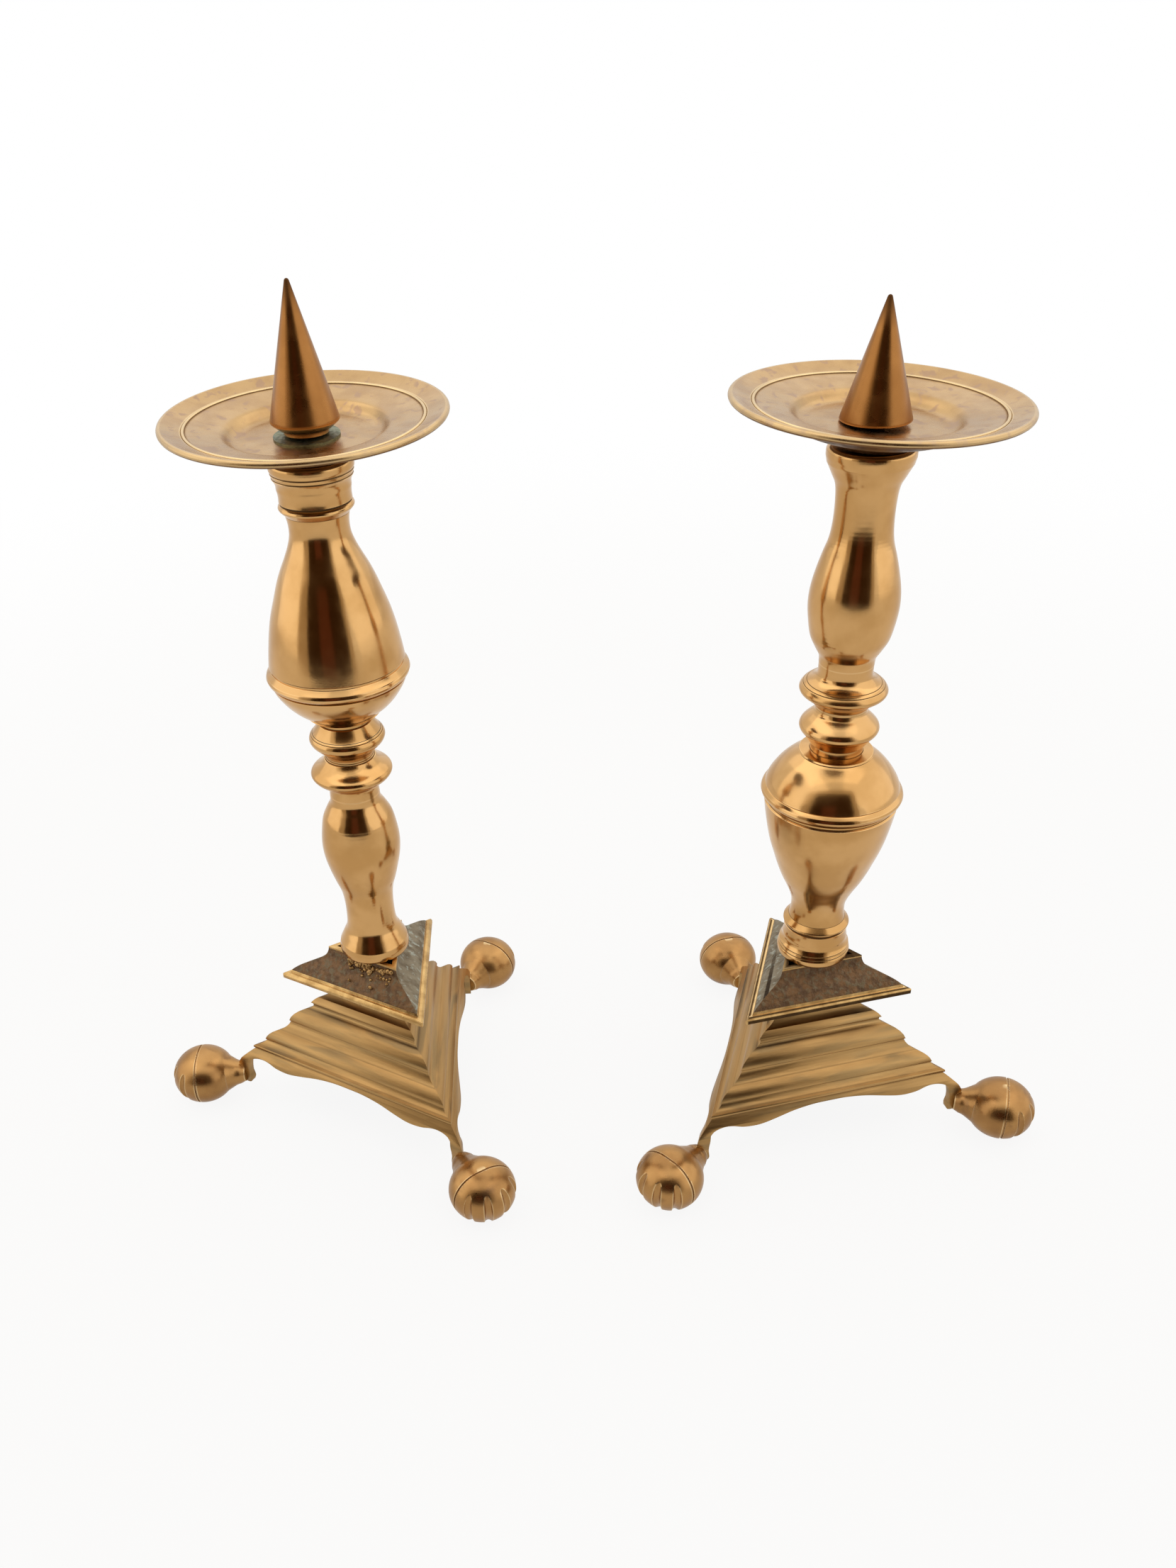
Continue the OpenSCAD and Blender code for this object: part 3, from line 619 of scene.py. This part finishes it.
def tilted(piece, side_name):
    tilt, way = (math.radians(a) for a in pan_tilt[side_name])
    turn = Matrix.Rotation(way, 4, "Z") @ Matrix.Rotation(-tilt, 4, "Y")
    turn = turn @ Matrix.Rotation(-way, 4, "Z")
    seat = Matrix.Translation((AXIS[side_name].x, AXIS[side_name].y, pan_seat[side_name]))
    piece.matrix_world = seat @ turn
    deselect()
    piece.select_set(True)
    bpy.context.view_layer.objects.active = piece
    bpy.ops.object.transform_apply(location=True, rotation=True, scale=True)


for side_name in ("left", "right"):
    line = refined(pan_line, corner=pan_corner)
    pan = lathed(side_name + "_drip_pan_turned", line, steps=pan_steps)
    for face in pan.data.polygons:
        in_hub = math.hypot(*face.center.xy) < hub_r and face.center.z < hub_h
        # Downward faces and the hub take the second metal, the painted shade under the pan.
        face.material_index = int(face.normal.z < facing_down or in_hub)
    tilted(pan, side_name)
    place_piece(pan, side_name + "_pan", side_name + "_drip_pan", "pan_brass", pan_brass, pan_painted_shade)

# %% [markdown]
# ## The spikes
# A spike is a plain turned cone with a chamfered foot and a blunt tip. The left one stands on a
# short neck over a thin green washer, and the right one stands straight in its pan. A small round
# on the widest edge catches the light as a bright crescent. The tip is tarnished, so its points
# get a hollow mark.

# %% Spike outline
tip_r, widest_r, neck_r, foot_r = 0.75, 10.7, 6.9, 8.3
thread_r, thread_depth = 3.25, 12.2
most_worn = 0.7


def spike_outline(foot_z, neck_h, chamfer, height):
    widest = neck_h + chamfer
    top = widest + height
    thread = [(0.0, thread_depth), (thread_r, thread_depth), (thread_r, 0)]
    neck = [(neck_r, 0), (neck_r, neck_h)] if neck_h else []
    worn = min(most_worn, chamfer / 2)
    edge = [(10.42, widest - worn), (10.62, widest - worn / 2), (10.66, widest + 0.05),
            (10.5, widest + 0.6)]
    lean = math.degrees(math.atan((widest_r - tip_r) / (height - tip_r)))
    tip = arc(0.0, top - tip_r, tip_r, tip_r, np.linspace(lean, 90, 7))
    tip[-1] = (0.0, top)
    (low_r, low_z), (high_r, high_z) = edge[-1], tip[0]
    cone = [(low_r + (high_r - low_r) * t, low_z + (high_z - low_z) * t)
            for t in np.linspace(0.08, 0.94, 12)]
    line = thread + neck + [(foot_r, neck_h)] + edge + cone + tip
    return [(r * MM, (z + foot_z) * MM) for r, z in line]


print("outline of a spike 40 mm high:", len(spike_outline(0.0, 0.0, 1.0, 39.0)), "points")

# %% Spikes
SPIKES = {"left": (274.0497, 1.6, 2.4, 38.8), "right": (273.5514, 0.0, 0.6, 33.5)}
dark_tip, tip_grime = 12 * MM, 0.8
for side_name, numbers in SPIKES.items():
    node = side_name + "_pricket_spike"
    spike = lathed(side_name + "_spike_turned", spike_outline(*numbers), AXIS[side_name])
    place_piece(spike, side_name + "_spike", node, "spike_brass", spike_brass)
    top = max(v.co.z for v in spike.data.vertices)
    grimy = spike.data.attributes["hollow"].data
    for v in spike.data.vertices:
        if v.co.z > top - dark_tip:
            grimy[v.index].value = tip_grime * (1 - (top - v.co.z) / dark_tip)

# %% [markdown]
# ## The castings
# Bases, platforms and feet are castings. Their solids already have the right shape, but every
# edge is razor sharp, and a real casting never is. So each solid is copied, its loose triangles
# are merged and joined to flat faces, and a small bevel rounds the edges. The feet are round
# enough and get no bevel. The solid itself is left alone. A platform has three finishes: its
# front slope is brown, its other slopes are stained grey, and its lip and socket are worn bright.

# %% Soft-edged castings
cast_weld, flat_angle, edge_angle, smooth_angle = 2e-6, 0.4, 20.0, 38.0


def casting(node, round_mm):
    deselect()
    solid = nodes[node]
    copy = solid.copy()
    copy.data = solid.data.copy()
    copy.name = node + "_cast"
    copy.parent = None
    for key in list(copy.keys()):
        del copy[key]
    bpy.context.scene.collection.objects.link(copy)
    copy.select_set(True)
    bpy.context.view_layer.objects.active = copy
    bpy.ops.object.mode_set(mode="EDIT")
    bpy.ops.mesh.select_all(action="SELECT")
    bpy.ops.mesh.customdata_custom_splitnormals_clear()
    bpy.ops.mesh.remove_doubles(threshold=cast_weld)
    if round_mm:
        bpy.ops.mesh.dissolve_limited(angle_limit=math.radians(flat_angle))
    bpy.ops.mesh.select_all(action="SELECT")
    bpy.ops.mesh.normals_make_consistent(inside=False)
    bpy.ops.object.mode_set(mode="OBJECT")
    if round_mm:
        bevel = copy.modifiers.new("soft_edges", "BEVEL")
        bevel.width = round_mm * MM
        bevel.segments = 2
        bevel.limit_method = "ANGLE"
        bevel.angle_limit = math.radians(edge_angle)
        bevel.use_clamp_overlap = True
        bpy.ops.object.modifier_apply(modifier=bevel.name)
        bpy.ops.object.mode_set(mode="EDIT")
        bpy.ops.mesh.select_all(action="SELECT")
        bpy.ops.mesh.normals_make_consistent(inside=False)
        bpy.ops.object.mode_set(mode="OBJECT")
    soften(copy, smooth_angle)
    return copy


print("castings get soft edges where faces meet at more than", edge_angle, "degrees")

# %% Bases, platforms and feet
cast_round = 0.35
lip_top, socket_edge = 65.2 * MM, 75.8 * MM
front_from, front_to = -150, -60
for side_name in ("left", "right"):
    node = side_name + "_base"
    place_piece(casting(node, cast_round), "stands", node, "cast_brass", cast_brass)
    node = side_name + "_platform"
    plate = casting(node, cast_round)
    for face in plate.data.polygons:
        way = math.degrees(math.atan2(face.normal.y, face.normal.x))
        on_slope = lip_top <= face.center.z <= socket_edge
        front = front_from < way < front_to
        face.material_index = (0 if front else 1) if on_slope else 2
    place_piece(plate, "stands", node, "dull_brass", brown_plate, grey_plate, worn_lip,
                angles=PLATE_ANGLES)
    for foot in ("front", "outer", "back"):
        node = side_name + "_foot_" + foot
        place_piece(casting(node, 0), "stands", node, "foot_brass", foot_brass)

# %% [markdown]
# ## Solder under the left socket
# Somebody once mended the left stick, and the solder under the front edge of its socket was never
# filed away. It is a crust of small beads, most of them near its top. Each is a stretched ball,
# set on the slope of the plate. The slope is a list of distances from the axis and heights, in
# millimetres.

# %% Crust of solder
slope = [(9.3, 76.6), (9.47, 74.75), (10.07, 72.66), (11.4, 71.06), (13.4, 69.6), (17.0, 68.2)]
bead_count, bead_lift = 80, 0.1
crust_top, crust_height, crust_spread = 74.6, 5.8, 2.2
crust_left, crust_right = -6.5, 14.5
thick_part, thick_size, thin_size = 2.8, 1.1, 0.8
facing = math.radians(-116)
outward = Vector((math.cos(facing), math.sin(facing), 0))
along_face = Vector((-math.sin(facing), math.cos(facing), 0))
dice = np.random.default_rng(11)
beads = []
for k in range(bead_count):
    down = abs(dice.normal(0.0, crust_spread))
    height = crust_top - min(down, crust_height)
    reach = float(np.interp(-height, [-z for a, z in slope], [a for a, z in slope]))
    sideways = dice.uniform(crust_left, crust_right)
    size = dice.uniform(0.55, 0.95) * (thick_size if down < thick_part else thin_size)
    offset = outward * (reach + bead_lift) + along_face * sideways + Vector((0, 0, height))
    spot = AXIS["left"] + offset * MM
    deselect()
    bpy.ops.mesh.primitive_ico_sphere_add(subdivisions=2, radius=size * MM, location=(0, 0, 0))
    bead = bpy.context.object
    stretch = (1.0, dice.uniform(0.8, 1.2), dice.uniform(0.8, 1.5), 1)
    bead.data.transform(Matrix.Diagonal(stretch))
    bead.data.transform(Matrix.Translation(spot))
    beads.append(bead)
deselect()
for bead in beads:
    bead.select_set(True)
bpy.context.view_layer.objects.active = beads[0]
bpy.ops.object.join()
crust = bpy.context.object
crust.name = "left_socket_solder"
bpy.ops.object.shade_smooth()
crust.data.materials.append(solder)
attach(crust, "stands")
print("crust of", len(beads), "beads,", len(crust.data.polygons), "faces")

# %% [markdown]
# ## The small parts that stay as they are
# The iron rod, its nut and washer are hidden inside. Their solids are right already, and so is
# the thin green washer under the left spike. They only get their finish.

# %% Iron and the thin washer
for name, solid in nodes.items():
    if name.endswith(("tie_rod", "base_washer", "base_nut")):
        paint = dark_iron
    elif name.endswith("spike_washer"):
        paint = green_brass
    else:
        continue
    solid.data.materials.clear()
    solid.data.materials.append(paint)
    print(name, "is finished in", paint.name)
